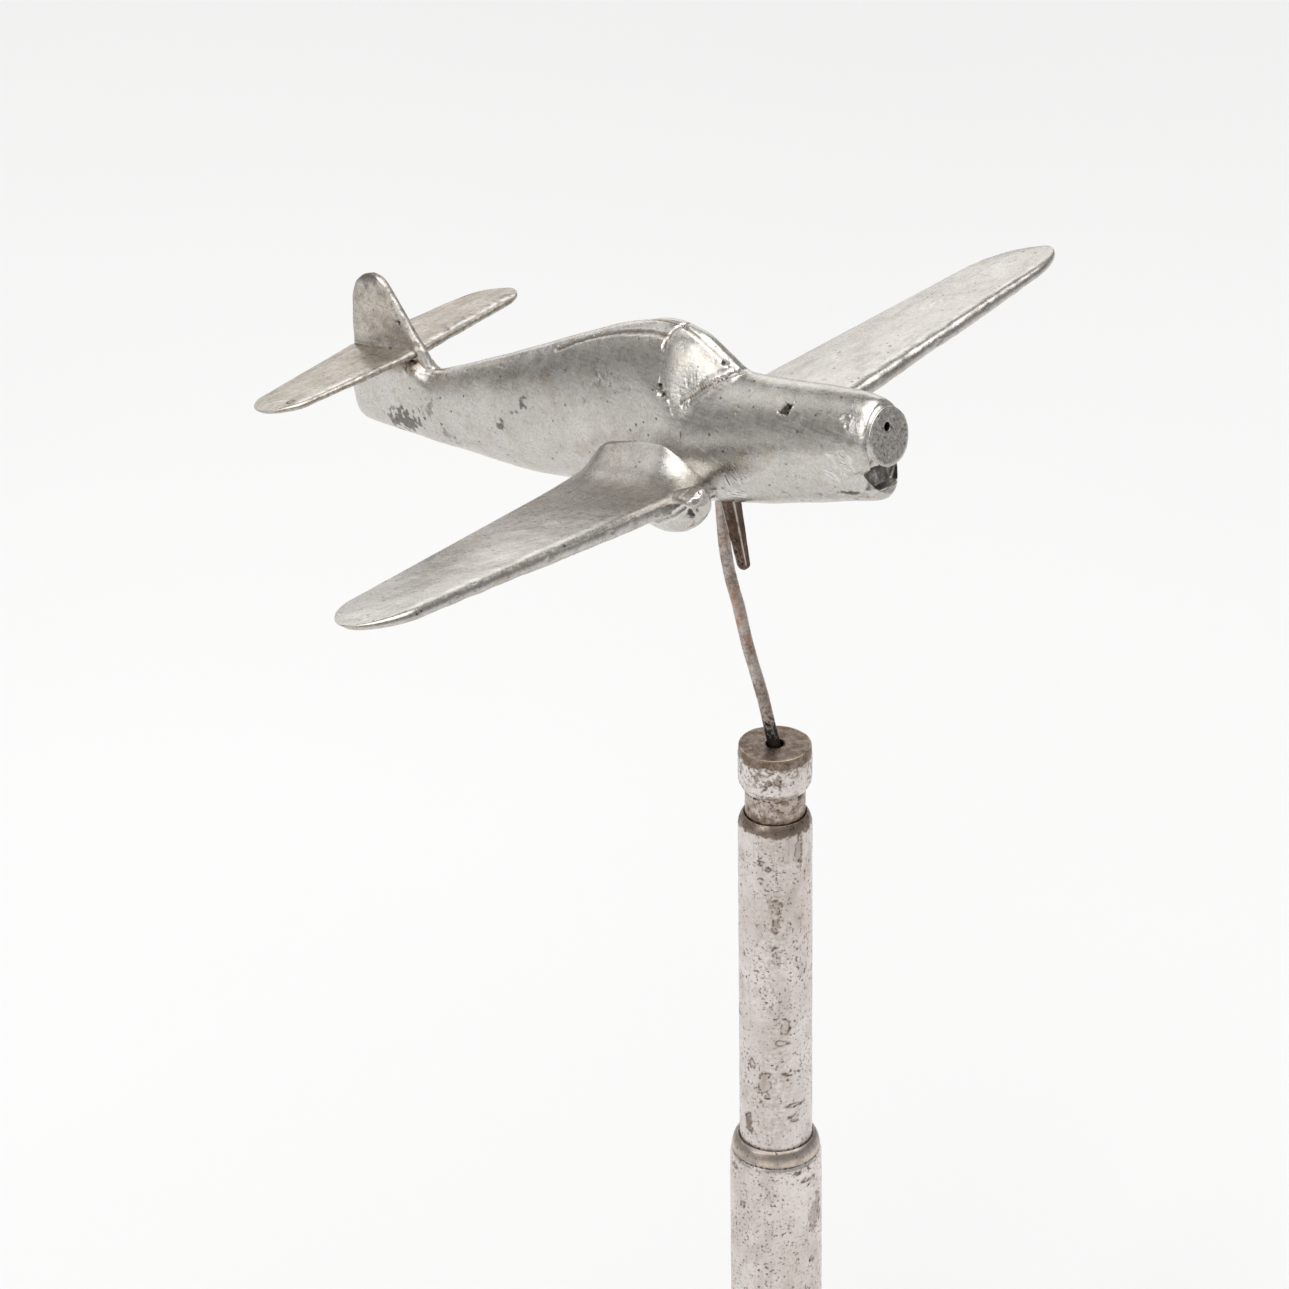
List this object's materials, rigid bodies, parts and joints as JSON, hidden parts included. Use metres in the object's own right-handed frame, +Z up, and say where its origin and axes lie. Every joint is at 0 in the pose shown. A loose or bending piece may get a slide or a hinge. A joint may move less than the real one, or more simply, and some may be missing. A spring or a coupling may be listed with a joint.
{
  "type": "model aeroplane desk stand",
  "caption": "Cast aluminium model of a low-wing monoplane on a bent steel wire, held in the head of a telescopic plated brass post on a round weighted base.",
  "frame": {"origin": "centre of the underside of the base, where it rests on the table", "axes": "+Z up along the post; the aeroplane's nose points to +X at rest, its port wing to +Y"},
  "size_m": [0.1504, 0.1789, 0.2645],
  "materials": {
    "cast_aluminium": "satin cast aluminium, filed and pitted",
    "oxidised_aluminium": "satin aluminium with dark oxide",
    "rusty_steel": "dark brown rusty steel",
    "wire_steel": "dull grey-brown steel wire",
    "nickel_plate": "worn nickel plate over brass",
    "worn_brass": "brass with its nickel mostly worn off",
    "bare_brass": "plain turned brass",
    "cast_iron": "rough cast iron",
    "plain_steel": "plain steel",
    "felt": "green felt"
  },
  "bodies": {
    "stand": {"lower_tube": "nickel_plate", "tube_foot_plug": "bare_brass", "base_cover": "nickel_plate", "base_weight": "cast_iron", "base_bolt": "plain_steel", "base_washer": "plain_steel", "felt_pad": "felt"},
    "middle_stage": {"middle_tube": "nickel_plate", "middle_split_bush": "bare_brass"},
    "inner_stage": {"head_knob": "nickel_plate", "inner_tube": "worn_brass", "inner_split_bush": "bare_brass"},
    "aeroplane": {"fuselage": "cast_aluminium", "wing": "cast_aluminium", "tailplane": "oxidised_aluminium", "fin": "oxidised_aluminium", "starboard_gear_fairing": "cast_aluminium", "port_gear_fairing": "cast_aluminium", "mounting_tang": "rusty_steel", "support_wire": "wire_steel"}
  },
  "joints": [
    {"name": "middle_slide", "type": "slide", "parent": "stand", "child": "middle_stage", "axis": [0, 0, 1], "range_m": [-0.066, 0.005]},
    {"name": "inner_slide", "type": "slide", "parent": "middle_stage", "child": "inner_stage", "axis": [0, 0, 1], "range_m": [-0.0045, 0.058]},
    {"name": "aeroplane_swivel", "type": "hinge", "parent": "inner_stage", "child": "aeroplane", "pos_m": [0, 0, 0.1781], "axis": [0, 0, 1], "continuous": true}
  ]
}
